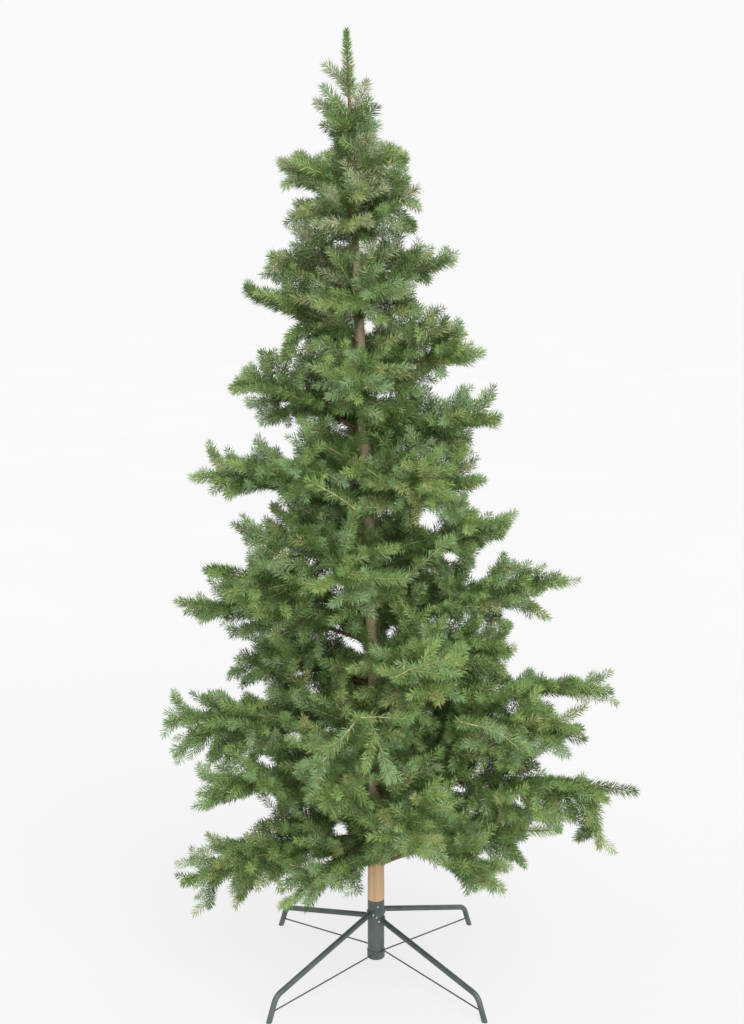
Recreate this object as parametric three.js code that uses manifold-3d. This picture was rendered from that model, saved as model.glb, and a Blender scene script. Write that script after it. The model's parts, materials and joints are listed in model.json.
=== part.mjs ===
// An artificial Christmas tree of the open alpine kind, 2.1 m tall, on a folding steel stand.
// Millimetres, +Z up, the floor at z = 0. X runs across the front of the tree and Y towards its back.
//
// The trunk is a wrapped pole, whole from the stand to the leader. Boughs leave it in tiers. Those of the lowest
// tier are bare limbs near the trunk, and end where their masses of foliage begin. The stems of the others reach the
// trunk. A mass is one stem with twigs, and each twig carries its sprays of needles as one toothed blade.

import * as THREE from "three";
import { mergeVertices } from "three/addons/utils/BufferGeometryUtils.js";
import Module from "manifold-3d";

const wasm = await Module();
wasm.setup();

// ---------- driving dimensions ----------

const treeHeight = 2100;
const fitGap = 0.3; // clearance between pieces that seat on each other

const pole = {
  sides: 14,
  // [height, radius]: bare in the sleeve, widest where the wrap ends over it, then three tubes, each thinner
  // than the last, up to the wire leader
  steps: [
    [41, 17.6], [177.5, 17.6], [178, 19.6], [330, 18.2], [470, 16.8], [760, 16.4], [772, 15.4], [1240, 14.6],
    [1252, 12.4], [1600, 10.2], [1612, 7.6], [1845, 6],
  ],
  leanStart: 650, // the pole stands plumb up to here, then leans to the left
  lean: -63, // how far the tip stands to the left of the foot
};

const sleeve = { outer: 19.2, bore: 17.9, low: 41, high: 177, sides: 24 };
const endCap = { outer: 20.4, bore: 19.5, low: 34, high: 54, edge: 3.5, steps: 2 };

const stand = {
  turn: 45.5, // azimuth of the first leg, in degrees
  tube: 6.3, // radius of a leg
  sides: 8,
  footReach: 330, // from the pole's axis to the middle of a foot
  bendReach: 309, // where the leg turns down
  bendHeight: 53,
  bendRadius: 30,
  legHeights: [146, 130], // at the sleeve: one diagonal pair of legs crosses over the other
  rod: 1.7, // radius of the thin rod from each leg's foot to the hub
  rodHeights: [42, 59], // at the hub
  rodFoot: [322, 21], // reach and height of its outer end, inside the leg
  rodSides: 6,
  saddle: { high: 13, thick: 2, spread: 38, steps: 5 }, // plate at a leg's root; spread in degrees each way
};

// Every bough: [azimuth in degrees, height at the pole, reach of its tip, height of its tip].
// Azimuth 0 points to the right (+X), 90 to the back, 180 to the left and 270 to the front.
const tiers = [
  [[190, 335, 450, 245], [243, 335, 335, 302], [318, 350, 375, 305], [18, 258, 465, 285], [108, 320, 430, 300]],
  [[352, 430, 592, 465], [203, 480, 425, 490], [283, 450, 430, 460], [58, 455, 460, 470], [140, 450, 370, 340]],
  [[184, 570, 480, 610], [338, 585, 490, 620], [256, 590, 440, 560], [12, 600, 570, 635], [98, 600, 440, 630]],
  [[150, 680, 390, 690], [350, 730, 322, 785], [10, 810, 455, 905], [290, 745, 395, 760], [75, 770, 410, 820]],
  [[163, 780, 470, 840], [207, 850, 400, 990], [343, 965, 318, 1072], [45, 930, 380, 990], [252, 940, 350, 980]],
  [[195, 960, 290, 1040], [188, 1080, 385, 1165], [18, 1080, 285, 1140], [118, 960, 350, 1020], [302, 1110, 290, 1170]],
  [[355, 1210, 302, 1295], [232, 1150, 270, 1210], [88, 1170, 290, 1230], [172, 1255, 290, 1370]],
  [[352, 1370, 272, 1430], [268, 1330, 225, 1390], [80, 1350, 235, 1410], [188, 1430, 238, 1552]],
  [[5, 1545, 215, 1625], [285, 1500, 190, 1570], [95, 1500, 195, 1570], [178, 1550, 200, 1635]],
  [[182, 1715, 162, 1828], [352, 1680, 143, 1778], [262, 1655, 125, 1765], [88, 1680, 125, 1800], [25, 1765, 94, 1872]],
];
const limbTiers = 1; // tiers, from the lowest, whose limbs are bare at the pole
const limb = { share: 0.22, root: 5.2, tip: 4.2, sides: 6 }; // share of the bough that is bare

const mass = {
  stemRoot: 5.6, // radii of the stem, out to the corners of its three sides
  stemTip: 3.6,
  stemSteps: 3,
  arch: 0.05, // rise of the stem's middle, as a share of its reach
  tipShare: 0.3, // length of the spray that ends the stem, as a share of the bough
  tipLeast: 112,
  tipLatest: 0.3, // on a short bough it starts no nearer the pole than this share of it
  twigSpacing: 64, // of the reach for each twig
  fewestTwigs: 4,
  twigFrom: 0.12, // where along the stem the twigs start
  twigShare: 0.64, // length of the first twig, as a share of the reach
  twigFade: 0.55, // how much shorter the last twig is
  twigLeast: 150,
  twigMost: 250,
  vary: 0.15,
  splay: 52, // angle from stem to twig, and how far it varies, in degrees
  splayVary: 22,
  tilt: 80, // how far a twig turns up or down out of the bough's plane, in degrees
  shares: [1, 0.85, 0.7, 0.58], // shorter and shorter versions of a twig that are tried
  attempts: 19, // tries at each of them
  firstSeed: 11,
};

// A spray is one toothed blade: its root is the twig, and each tooth a shoot at the twig's side.
const spray = {
  least: 80,
  halfWidth: 0.43, // of its length
  thick: 0.2,
  twig: 1.5, // radius of its root
  roll: 80, // how far a blade is turned about its own length, and how far that varies, in degrees
  rollVary: 30,
  sunk: 0.4, // how far its root is sunk beyond the stem's middle
  crest: 0.45, // where it is thickest, as a share of its length
  tipRoll: 12,
};

// The wire above the pole and its sprays.
const leader = {
  from: 1870, // height from which it owns the space round it
  radius: 4.4,
  topFrom: 0.55, // where its end blade starts, as a share of its height
  splay: 30,
  roll: 90,
  shoots: [ // azimuth, place along the wire, length
    [185, 0.62, 100], [10, 0.3, 130], [175, 0.02, 140], [265, 0.25, 130], [85, 0.45, 120],
  ],
};

// What sprays keep clear of: each other's masses, the floor, and the stand out to standReach from the trunk.
const room = { between: 2, floor: 195, overStand: 275, standReach: 240 };

// ---------- finishes ----------

const finish = (color, roughness, metalness = 0) => new THREE.MeshStandardMaterial({ color, roughness, metalness });
const bark = finish(0xb08a62, 0.75);
const needles = finish(0x4f7346, 0.6);
const greenPaint = finish(0x46524d, 0.45, 0.2);
const darkPlastic = finish(0x3c4743, 0.55);

// ---------- solids ----------

function solidOf(geometry) {
  const bare = geometry.clone();
  for (const name of ["normal", "uv"]) bare.deleteAttribute(name);
  const merged = mergeVertices(bare, 1e-3);
  return new wasm.Manifold(
    new wasm.Mesh({
      numProp: 3,
      vertProperties: merged.attributes.position.array,
      triVerts: new Uint32Array(merged.index.array),
    }),
  );
}

function geometryOf(solid) {
  const { numProp, vertProperties, triVerts } = solid.getMesh();
  const points = new Float32Array((vertProperties.length / numProp) * 3);
  for (let i = 0; i < points.length / 3; i++) {
    points.set(vertProperties.subarray(i * numProp, i * numProp + 3), i * 3);
  }
  const geometry = new THREE.BufferGeometry();
  geometry.setAttribute("position", new THREE.BufferAttribute(points, 3));
  geometry.setIndex(new THREE.BufferAttribute(triVerts, 1));
  geometry.computeVertexNormals();
  return geometry;
}

function geometryFrom(points, faces) {
  const geometry = new THREE.BufferGeometry();
  geometry.setAttribute("position", new THREE.Float32BufferAttribute(points.flatMap((p) => p.toArray()), 3));
  geometry.setIndex(faces.flat());
  return geometry;
}

// A closed tube through the given centres, with a radius for each, capped flat across `across` at its first ring.
function taperedTube(centres, radii, sides, across = null) {
  const points = [];
  const faces = [];
  const side = new THREE.Vector3();
  const up = new THREE.Vector3();
  centres.forEach((centre, i) => {
    const ahead = centres[Math.min(i + 1, centres.length - 1)];
    const behind = centres[Math.max(i - 1, 0)];
    const along = i === 0 && across ? across : ahead.clone().sub(behind).normalize();
    const reference = Math.abs(along.z) > 0.9 ? new THREE.Vector3(1, 0, 0) : new THREE.Vector3(0, 0, 1);
    side.crossVectors(reference, along).normalize();
    up.crossVectors(along, side);
    for (let k = 0; k < sides; k++) {
      const angle = (2 * Math.PI * k) / sides;
      const point = centre.clone().addScaledVector(side, radii[i] * Math.cos(angle));
      points.push(point.addScaledVector(up, radii[i] * Math.sin(angle)));
    }
  });
  for (let i = 0; i + 1 < centres.length; i++) {
    for (let k = 0; k < sides; k++) {
      const [a, b] = [i * sides + k, i * sides + ((k + 1) % sides)];
      faces.push([a, b, b + sides], [a, b + sides, a + sides]);
    }
  }
  const last = (centres.length - 1) * sides;
  for (let k = 1; k + 1 < sides; k++) faces.push([0, k + 1, k], [last, last + k, last + k + 1]);
  return geometryFrom(points, faces);
}

const turned = (profile, sides) =>
  new THREE.LatheGeometry(profile.map(([r, z]) => new THREE.Vector2(r, z)), sides).rotateX(Math.PI / 2);

const radians = THREE.MathUtils.degToRad;
const outward = (azimuth) => new THREE.Vector3(Math.cos(azimuth), Math.sin(azimuth), 0);

// ---------- pole and stand ----------

function poleAxis(z) {
  const share = Math.max(0, (z - pole.leanStart) / (treeHeight - pole.leanStart));
  return new THREE.Vector3(pole.lean * share, 0, z);
}

function poleRadius(z) {
  const next = pole.steps.findIndex(([height]) => height >= z);
  if (next < 1) return next === 0 ? pole.steps[0][1] : pole.steps.at(-1)[1];
  const [[z0, r0], [z1, r1]] = [pole.steps[next - 1], pole.steps[next]];
  return r0 + ((r1 - r0) * (z - z0)) / (z1 - z0);
}

function poleSolid(extra = 0) {
  const heights = [...pole.steps.map(([z]) => z), pole.leanStart].sort((a, b) => a - b);
  return taperedTube(heights.map(poleAxis), heights.map((z) => poleRadius(z) + extra), pole.sides);
}

function sleeveGeometry() {
  const { outer, bore, low, high, sides } = sleeve;
  return turned([[bore, low], [outer, low], [outer, high], [bore, high], [bore, low]], sides);
}

function endCapGeometry() {
  const { outer, bore, low, high, edge } = endCap;
  const floor = sleeve.low - fitGap;
  const rounded = Array.from({ length: endCap.steps + 1 }, (_, k) => {
    const angle = ((Math.PI / 2) * k) / endCap.steps;
    return [outer - edge + edge * Math.sin(angle), low + edge - edge * Math.cos(angle)];
  });
  return turned([[0, low], ...rounded, [outer, high], [bore, high], [bore, floor], [0, floor]], sleeve.sides);
}

// A leg's centreline in its own plane: reach from the pole's axis, and height.
function legLine(height) {
  const root = new THREE.Vector2(sleeve.outer + fitGap + 1, height);
  const bend = new THREE.Vector2(stand.bendReach, stand.bendHeight);
  const foot = new THREE.Vector2(stand.footReach, 0);
  const before = bend.clone().sub(root).normalize();
  const after = foot.clone().sub(bend).normalize();
  const setBack = stand.bendRadius * Math.tan(Math.acos(before.dot(after)) / 2);
  const start = bend.clone().addScaledVector(before, -setBack);
  const end = bend.clone().addScaledVector(after, setBack);
  const curve = new THREE.QuadraticBezierCurve(start, bend, end);
  const past = foot.clone().addScaledVector(after, 2 * stand.tube); // cut off at the floor afterwards
  return [root, ...curve.getPoints(4), past];
}

function legTube(index) {
  const out = outward(radians(stand.turn + 90 * index));
  const line = legLine(stand.legHeights[index % 2]);
  const centres = line.map(({ x, y }) => out.clone().multiplyScalar(x).setZ(y));
  return solidOf(taperedTube(centres, centres.map(() => stand.tube), stand.sides, out));
}

// A leg with the plate at its root and the rod that braces its foot.
function legSolid(index) {
  const saddle = saddleSolid(radians(stand.turn + 90 * index), stand.legHeights[index % 2]);
  const solid = wasm.Manifold.union([legTube(index), saddle, rodSolid(index)]);
  return solid.subtract(floorBlock());
}

// The curved plate that holds a leg to the sleeve.
function saddleSolid(azimuth, height) {
  const { high, thick, spread, steps } = stand.saddle;
  const inner = sleeve.outer + fitGap;
  const shape = new THREE.Shape();
  shape.absarc(0, 0, inner + thick, azimuth - radians(spread), azimuth + radians(spread));
  shape.absarc(0, 0, inner, azimuth + radians(spread), azimuth - radians(spread), true);
  const plate = new THREE.ExtrudeGeometry(shape, { depth: high, bevelEnabled: false, curveSegments: steps });
  return solidOf(plate.translate(0, 0, height - high / 2));
}

function floorBlock() {
  const wide = 3 * stand.footReach;
  return solidOf(new THREE.BoxGeometry(wide, wide, wide).translate(0, 0, -wide / 2));
}

function rodSolid(index) {
  const out = outward(radians(stand.turn + 90 * index));
  const high = stand.rodHeights[index % 2];
  const hub = (high > endCap.high ? sleeve.outer : endCap.outer) + fitGap;
  const centres = [[hub, high], stand.rodFoot].map(([r, z]) => out.clone().multiplyScalar(r).setZ(z));
  return solidOf(taperedTube(centres, [stand.rod, stand.rod], stand.rodSides, out));
}

// ---------- boughs and masses ----------

// A repeatable scatter from -1 to 1, for one item of one mass.
function scatter(massNumber, kind, item) {
  const wave = Math.sin(massNumber * 12.9898 + kind * 78.233 + item * 37.719) * 43758.5453;
  return 2 * (wave - Math.floor(wave)) - 1;
}

function boughCurve([azimuth, rootHeight, reach, tipHeight]) {
  const out = outward(radians(azimuth));
  const foot = poleAxis(rootHeight);
  const at = (share, z) => foot.clone().addScaledVector(out, reach * share).setZ(z);
  const middle = (rootHeight + tipHeight) / 2 + mass.arch * reach * 2;
  return new THREE.QuadraticBezierCurve3(foot, at(0.5, middle), at(1, tipHeight));
}

const boughs = tiers.flatMap((tier, t) =>
  tier.map((numbers, b) => ({
    name: `${t + 1}_${b + 1}`,
    number: 10 * (t + 1) + b + 1,
    out: outward(radians(numbers[0])),
    reach: numbers[2],
    curve: boughCurve(numbers),
    bare: t < limbTiers,
  })),
);
for (const bough of boughs) bough.axis = bough.curve.getPoints(10);
const leaderBough = { name: "leader", axis: [poleAxis(leader.from), poleAxis(treeHeight)] };

const segment = new THREE.Line3();
const nearest = new THREE.Vector3();
function distanceTo(axis, point) {
  let least = Infinity;
  for (let i = 0; i + 1 < axis.length; i++) {
    segment.set(axis[i], axis[i + 1]).closestPointToPoint(point, true, nearest);
    least = Math.min(least, nearest.distanceTo(point));
  }
  return least;
}

// Each mass owns the space nearer to its own bough than to any other, clear of the pole, the stand and the floor.
function inOwnSpace(bough, point) {
  if (point.z > treeHeight) return false;
  const fromFoot = Math.hypot(point.x, point.y);
  if (point.z < (fromFoot < room.standReach ? room.overStand : room.floor)) return false;
  const axis = poleAxis(point.z);
  if (point.distanceTo(axis) < poleRadius(point.z) + room.between) return false;
  const own = distanceTo(bough.axis, point) + room.between;
  return [...boughs, leaderBough].every((other) => other === bough || distanceTo(other.axis, point) > own);
}

// Right-handed frame along a direction: forward, to the side, and up.
function frameAlong(forward) {
  const reference = Math.abs(forward.z) > 0.95 ? new THREE.Vector3(0, 1, 0) : new THREE.Vector3(0, 0, 1);
  const side = new THREE.Vector3().crossVectors(forward, reference).normalize();
  return { forward, side, up: new THREE.Vector3().crossVectors(side, forward) };
}

// The direction that leaves `frame` at `splay` from forward, turned by `turn` about it. Angles in degrees.
function branchOff({ forward, side, up }, splay, turn) {
  const [s, t] = [radians(splay), radians(turn)];
  return forward.clone().multiplyScalar(Math.cos(s))
    .addScaledVector(side, Math.sin(s) * Math.cos(t))
    .addScaledVector(up, Math.sin(s) * Math.sin(t));
}

// Half of a blade's outline, as shares of its length and half width.
const toothHalf = [[0.15, 0.08], [0.36, 0.95], [0.42, 0.36], [0.66, 0.9], [0.7, 0.22]];

function sprayGeometry(root, direction, length, roll) {
  const { forward, side, up } = frameAlong(direction);
  const across = side.clone().multiplyScalar(Math.cos(roll)).addScaledVector(up, Math.sin(roll));
  const normal = new THREE.Vector3().crossVectors(forward, across);
  const at = (x, y, z = 0) =>
    root.clone().addScaledVector(forward, x).addScaledVector(across, y).addScaledVector(normal, z);
  const half = toothHalf.map(([x, y]) => [x * length, y * length * spray.halfWidth]);
  const outline = [
    at(-spray.sunk, -spray.twig),
    ...half.map(([x, y]) => at(x, -y)),
    at(length, 0),
    ...half.map(([x, y]) => at(x, y)).reverse(),
    at(-spray.sunk, spray.twig),
  ];
  const count = outline.length;
  const deep = (length * spray.thick) / 2;
  const spine = [spray.twig, -spray.twig].map((z) => at(-spray.sunk, 0, z));
  const ridge = [deep, -deep].map((z) => at(spray.crest * length, 0, z));
  const [top, bottom, crest, keel] = [count, count + 1, count + 2, count + 3];
  const faces = [[0, top, count - 1], [0, count - 1, bottom]];
  faces.push([top, 0, crest], [count - 1, top, crest], [0, bottom, keel], [bottom, count - 1, keel]);
  for (let i = 0; i + 1 < count; i++) faces.push([i, i + 1, crest], [i + 1, i, keel]);
  return { geometry: geometryFrom([...outline, ...spine, ...ridge], faces), outline };
}

// Whether a spray stays in its mass's space and clear of the sprays so far.
function fits(bough, others, { geometry, outline }) {
  if (!outline.slice(2, -2).every((point) => inOwnSpace(bough, point))) return false;
  const solid = solidOf(geometry);
  return others.every((other) => other.intersect(solid).isEmpty());
}

// The spray of one twig: the longest of a few seeded tries that fits, or nothing.
function twigSpray(bough, others, t, item) {
  const { curve, reach, number } = bough;
  const wanted = mass.twigShare * reach * (1 - mass.twigFade * t) * (1 + mass.vary * scatter(number, 2, item));
  const length = THREE.MathUtils.clamp(wanted, mass.twigLeast, mass.twigMost);
  const root = curve.getPoint(t);
  const along = frameAlong(curve.getTangent(t));
  for (const share of mass.shares) {
    if (length * share < spray.least) return null;
    for (let attempt = 0; attempt < mass.attempts; attempt++) {
      const seed = mass.firstSeed + 20 * item + attempt;
      const turn = (item % 2 ? 180 : 0) + mass.tilt * scatter(number, 3, seed);
      const splay = mass.splay + mass.splayVary * scatter(number, 4, seed);
      const roll = (seed % 3 ? spray.roll : -spray.roll) + spray.rollVary * scatter(number, 5, seed);
      const blade = sprayGeometry(root, branchOff(along, splay, turn), length * share, radians(roll));
      if (fits(bough, others, blade)) return solidOf(blade.geometry);
    }
  }
  return null;
}

function stemSolid(bough, from, to) {
  const steps = Array.from({ length: mass.stemSteps + 1 }, (_, k) => from + ((to - from) * k) / mass.stemSteps);
  const radii = steps.map((t) => mass.stemRoot + (mass.stemTip - mass.stemRoot) * t);
  return solidOf(taperedTube(steps.map((t) => bough.curve.getPoint(t)), radii, 3, bough.bare ? null : bough.out));
}

function massSolid(bough) {
  const { curve, reach, number } = bough;
  const from = bough.bare ? limb.share : 0;
  const long = curve.getLength();
  const to = Math.max(mass.tipLatest, 1 - Math.max(mass.tipLeast, mass.tipShare * long) / long);
  const tip = curve.getPoint(1);
  const end = curve.getPoint(to);
  const ahead = tip.clone().sub(end);
  const forward = ahead.clone().normalize();
  const sprays = [solidOf(sprayGeometry(end, forward, ahead.length(), radians(spray.tipRoll)).geometry)];
  const twigs = Math.max(mass.fewestTwigs, Math.round(reach / mass.twigSpacing));
  for (let i = twigs - 1; i >= 0; i--) {
    const along = mass.twigFrom + (1 - mass.twigFrom) * ((i + 0.5) / twigs);
    const blade = twigSpray(bough, sprays, from + (to - from) * along, i);
    if (blade) sprays.push(blade);
  }
  return wasm.Manifold.union([stemSolid(bough, from, to), ...sprays]);
}

// The leader: a wire above the pole, with one blade up to its tip and steep ones round it.
function leaderSolid() {
  const foot = poleAxis(pole.steps.at(-1)[0] + fitGap);
  const tip = poleAxis(treeHeight);
  const up = tip.clone().sub(foot).normalize();
  const top = foot.clone().lerp(tip, leader.topFrom);
  const pieces = [
    solidOf(taperedTube([foot, top], [leader.radius, mass.stemTip], 3)),
    solidOf(sprayGeometry(top, up, top.distanceTo(tip), radians(90)).geometry),
  ];
  leader.shoots.forEach(([azimuth, share, length], i) => {
    const direction = outward(radians(azimuth)).multiplyScalar(Math.tan(radians(leader.splay))).add(up).normalize();
    const root = foot.clone().lerp(top, share);
    pieces.push(solidOf(sprayGeometry(root, direction, length, radians(leader.roll * (i % 2))).geometry));
  });
  return wasm.Manifold.union(pieces);
}

function limbSolid(bough) {
  const steps = [0, 0.5, 1].map((k) => k * limb.share);
  const radii = steps.map((t) => limb.root + ((limb.tip - limb.root) * t) / limb.share);
  const end = bough.curve.getPoint(limb.share).addScaledVector(bough.curve.getTangent(limb.share), -fitGap);
  const centres = [bough.curve.getPoint(0), bough.curve.getPoint(steps[1]), end];
  return solidOf(taperedTube(centres, radii, limb.sides, bough.out));
}

// ---------- assembly ----------

const tree = new THREE.Group();
const largest = (solid) => solid.decompose().sort((a, b) => b.volume() - a.volume())[0];
const poleRoom = solidOf(poleSolid(fitGap));
const clearOfPole = (solid) => geometryOf(largest(solid.subtract(poleRoom)));
const add = (name, geometry, material) => {
  const mesh = new THREE.Mesh(geometry, material);
  mesh.name = name;
  tree.add(mesh);
};

add("trunk_pole", poleSolid(), bark);
add("stand_sleeve", sleeveGeometry(), greenPaint);
add("stand_end_cap", endCapGeometry(), darkPlastic);
for (let i = 0; i < 4; i++) add(`stand_leg_${i + 1}`, geometryOf(legSolid(i)), greenPaint);
for (const bough of boughs) {
  if (bough.bare) add(`bough_${bough.name}`, clearOfPole(limbSolid(bough)), bark);
  add(`foliage_${bough.name}`, clearOfPole(massSolid(bough)), needles);
}
add("foliage_leader", clearOfPole(leaderSolid()), needles);

// The frame's origin is on the floor under the middle of the whole outline.
const middle = new THREE.Box3().setFromObject(tree, true).getCenter(new THREE.Vector3());
tree.position.set(-middle.x, -middle.y, 0);

export default tree;
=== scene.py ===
import json
import math

import bpy
import numpy as np
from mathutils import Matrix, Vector


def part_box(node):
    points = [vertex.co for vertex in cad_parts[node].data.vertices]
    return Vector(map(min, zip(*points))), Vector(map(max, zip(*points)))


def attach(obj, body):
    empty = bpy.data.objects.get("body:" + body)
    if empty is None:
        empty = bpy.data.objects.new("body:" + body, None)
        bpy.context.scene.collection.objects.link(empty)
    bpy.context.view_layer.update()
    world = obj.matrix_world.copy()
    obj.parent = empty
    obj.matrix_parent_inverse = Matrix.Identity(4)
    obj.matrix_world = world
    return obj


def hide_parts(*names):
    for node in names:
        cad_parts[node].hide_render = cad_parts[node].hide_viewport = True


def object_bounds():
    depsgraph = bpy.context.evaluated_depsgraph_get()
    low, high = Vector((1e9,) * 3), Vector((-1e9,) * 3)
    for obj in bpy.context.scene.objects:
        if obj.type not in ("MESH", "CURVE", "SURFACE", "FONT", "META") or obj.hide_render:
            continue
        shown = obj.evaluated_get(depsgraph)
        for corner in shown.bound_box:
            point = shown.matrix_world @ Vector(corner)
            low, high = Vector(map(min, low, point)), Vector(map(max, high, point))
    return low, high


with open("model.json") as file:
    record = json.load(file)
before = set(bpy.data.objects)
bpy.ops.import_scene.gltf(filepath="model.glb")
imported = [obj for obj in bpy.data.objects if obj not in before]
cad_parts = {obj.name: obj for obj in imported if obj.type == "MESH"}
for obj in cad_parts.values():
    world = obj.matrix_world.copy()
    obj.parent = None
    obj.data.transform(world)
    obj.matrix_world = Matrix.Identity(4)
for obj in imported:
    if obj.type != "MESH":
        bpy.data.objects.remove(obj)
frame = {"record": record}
cadLow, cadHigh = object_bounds()

# Artificial tree on its folding stand. Metres, floor at z = 0, +X to the right, +Y to the back.
mm = 0.001
sleeveLow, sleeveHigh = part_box("stand_sleeve")
trunkX = (sleeveLow.x + sleeveHigh.x) / 2  # the trunk's foot
trunkY = (sleeveLow.y + sleeveHigh.y) / 2
nodeNames = sorted(n["node"] for n in frame["record"]["subparts"])
foliageNodes = [name for name in nodeNames if name.startswith("foliage_")]
boughNodes = [name for name in nodeNames if name.startswith("bough_")]
camera = {"away": 3111 * mm, "height": 1619 * mm, "down": 9.82, "turn": 0.17, "lens": 50.55, "sensor": 36}


def deselectAll():
    if bpy.context.object and bpy.context.object.mode != "OBJECT":
        bpy.ops.object.mode_set(mode="OBJECT")
    bpy.ops.object.select_all(action="DESELECT")


def selectOnly(piece):
    deselectAll()
    piece.select_set(True)
    bpy.context.view_layer.objects.active = piece


def editMode(piece, pick="SELECT"):
    selectOnly(piece)
    bpy.ops.object.mode_set(mode="EDIT")
    bpy.ops.mesh.select_all(action=pick)


def objectMode():
    bpy.ops.object.mode_set(mode="OBJECT")


def settle(piece, move, turn):
    # turns and moves the piece, then puts its place in its mesh
    selectOnly(piece)
    piece.rotation_euler = turn
    piece.location = Vector(move)
    bpy.ops.object.transform_apply(location=True, rotation=True, scale=True)


def namedPiece(name, scale=(1, 1, 1)):
    # the primitive just added, with its place in its mesh
    piece = bpy.context.object
    piece.name = name
    piece.scale = scale
    bpy.ops.object.transform_apply(location=True, rotation=True, scale=True)
    return piece


def faceOut(piece, merge=0.02 * mm):
    editMode(piece)
    bpy.ops.mesh.remove_doubles(threshold=merge)
    bpy.ops.mesh.normals_make_consistent(inside=False)
    objectMode()


def roundEdges(piece, width, angle=50):
    selectOnly(piece)
    bevel = piece.modifiers.new("edge", "BEVEL")
    bevel.width = width
    bevel.segments = 2
    bevel.limit_method = "ANGLE"
    bevel.angle_limit = math.radians(angle)
    bpy.ops.object.modifier_apply(modifier=bevel.name)


def smooth(piece, angle):
    selectOnly(piece)
    bpy.ops.object.shade_smooth_by_angle(angle=math.radians(angle))


def finishPiece(piece, material, nodes):
    piece.data.materials.clear()
    piece.data.materials.append(material)
    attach(piece, "root")
    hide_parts(*nodes)


def finishStandPiece(piece, material, node, azimuth=0.0, angle=35):
    # from the axis to its side of the trunk
    settle(piece, (trunkX, trunkY, 0), (0, 0, azimuth))
    smooth(piece, angle)
    finishPiece(piece, material, [node])


def turnedPiece(name, rings, sides):
    # a ring, extruded and resized from one (radius, height) to the next
    deselectAll()
    radius, height = rings[0]
    bpy.ops.mesh.primitive_circle_add(vertices=sides, radius=radius, location=(0, 0, height))
    piece = namedPiece(name)
    editMode(piece)
    for nextRadius, nextHeight in rings[1:]:
        bpy.ops.mesh.extrude_region_move(TRANSFORM_OT_translate={"value": (0, 0, nextHeight - height)})
        share = nextRadius / radius
        bpy.ops.transform.resize(value=(share, share, 1), center_override=(0, 0, nextHeight))
        radius, height = nextRadius, nextHeight
    objectMode()
    return piece


def capEnds(piece):
    # fills the open rings
    editMode(piece, "DESELECT")
    bpy.ops.mesh.select_mode(type="VERT")
    bpy.ops.mesh.select_non_manifold(extend=False, use_multi_face=False, use_non_contiguous=False)
    bpy.ops.mesh.fill_holes(sides=0)
    objectMode()


def setInputs(node, values):
    for name, value in values.items():
        node.inputs[name].default_value = value


def newMaterial(name, roughness, metallic=0.0):
    material = bpy.data.materials.new(name)
    material.use_nodes = True
    shader = material.node_tree.nodes["Principled BSDF"]
    setInputs(shader, {"Roughness": roughness, "Metallic": metallic})
    return material, material.node_tree, shader


def mottle(tree, scale, detail, stretch=(1.0, 1.0, 1.0)):
    # noise in the piece's own coordinates
    place = tree.nodes.new("ShaderNodeTexCoord")
    mapping = tree.nodes.new("ShaderNodeMapping")
    noise = tree.nodes.new("ShaderNodeTexNoise")
    setInputs(mapping, {"Scale": stretch})
    setInputs(noise, {"Scale": scale, "Detail": detail, "Roughness": 0.55})
    tree.links.new(place.outputs["Object"], mapping.inputs["Vector"])
    tree.links.new(mapping.outputs["Vector"], noise.inputs["Vector"])
    return noise.outputs["Fac"]


def ramp(tree, factor, stops):
    node = tree.nodes.new("ShaderNodeValToRGB")
    elements = node.color_ramp.elements
    while len(elements) < len(stops):
        elements.new(0.5)
    for element, (position, colour) in zip(elements, stops):
        element.position = position
        element.color = (*colour, 1)
    tree.links.new(factor, node.inputs["Fac"])
    return node.outputs["Color"]


def bumpFrom(tree, shader, height, strength, distance):
    bump = tree.nodes.new("ShaderNodeBump")
    setInputs(bump, {"Strength": strength, "Distance": distance})
    tree.links.new(height, bump.inputs["Height"])
    tree.links.new(bump.outputs["Normal"], shader.inputs["Normal"])


wrapLook = {
    "stops": [(0.3, (0.52, 0.325, 0.18)), (0.5, (0.60, 0.395, 0.225)), (0.72, (0.67, 0.465, 0.28))],
    # painted light: the pale tan that lightens the trunk where the crown's shade falls on it
    "paintedCrownLight": (0.96, 0.75, 0.51),
    "fade": (0.27, 0.45, 0.95),  # painted light: from this height to that one, and how far the wrap turns to the pale tan
    "scale": 60.0, "detail": 6.0, "stretch": (1.0, 1.0, 0.07), "bump": (0.35, 0.0006), "roughness": 0.62,
}


def woodWrap():
    # a wood grain that runs along the trunk, painted paler inside the crown as painted light against the
    # crown's shade
    material, tree, shader = newMaterial("woodLookWrap", wrapLook["roughness"])
    grain = mottle(tree, wrapLook["scale"], wrapLook["detail"], wrapLook["stretch"])
    place = tree.nodes.new("ShaderNodeTexCoord")
    split = tree.nodes.new("ShaderNodeSeparateXYZ")
    # painted light: with height the grain's colours give way to the pale tan
    fade = tree.nodes.new("ShaderNodeMapRange")
    low, high, most = wrapLook["fade"]
    setInputs(fade, {"From Min": low, "From Max": high, "To Max": most})
    mix = tree.nodes.new("ShaderNodeMix")
    mix.data_type = "RGBA"
    mix.inputs["B"].default_value = (*wrapLook["paintedCrownLight"], 1)
    tree.links.new(place.outputs["Object"], split.inputs["Vector"])
    tree.links.new(split.outputs["Z"], fade.inputs["Value"])
    tree.links.new(fade.outputs["Result"], mix.inputs["Factor"])
    tree.links.new(ramp(tree, grain, wrapLook["stops"]), mix.inputs["A"])
    tree.links.new(mix.outputs["Result"], shader.inputs["Base Color"])
    bumpFrom(tree, shader, grain, *wrapLook["bump"])
    return material


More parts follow.
